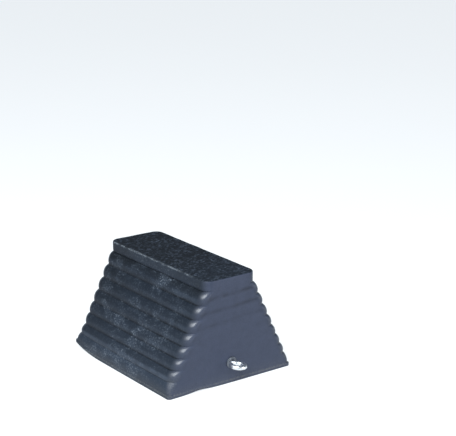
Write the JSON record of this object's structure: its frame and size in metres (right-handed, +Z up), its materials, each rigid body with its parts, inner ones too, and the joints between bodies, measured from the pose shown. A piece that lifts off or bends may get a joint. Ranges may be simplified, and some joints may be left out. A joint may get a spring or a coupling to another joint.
{
  "type": "wheel chock",
  "caption": "Pyramid wheel chock of moulded rubber with ribbed tyre faces, smooth ends and a wire eyebolt held by a lock nut in a pocket under it.",
  "frame": {"origin": "centre of the sole, on the ground", "axes": "+Z up; X runs between the two ribbed faces, either of which meets a tyre, so the wheel rolls along X; Y runs between the two smooth ends, and the eyebolt stands out of the -Y end"},
  "size_m": [0.211, 0.2686, 0.154],
  "materials": {
    "black_rubber": "matt moulded rubber, scuffed and dusty",
    "zinc_plated_steel": "bright zinc plate, slightly worn",
    "white_nylon": "natural nylon"
  },
  "bodies": {
    "block": {"chock_body": "black_rubber"},
    "eyebolt_set": {"eyebolt": "zinc_plated_steel", "outer_washer": "zinc_plated_steel", "inner_washer": "zinc_plated_steel", "lock_nut": "zinc_plated_steel", "nut_insert": "white_nylon"}
  },
  "joints": [
    {"name": "eyebolt_turn", "type": "hinge", "parent": "block", "child": "eyebolt_set", "pos_m": [0, -0.1199, 0.03], "axis": [0, -1, 0], "continuous": true}
  ]
}
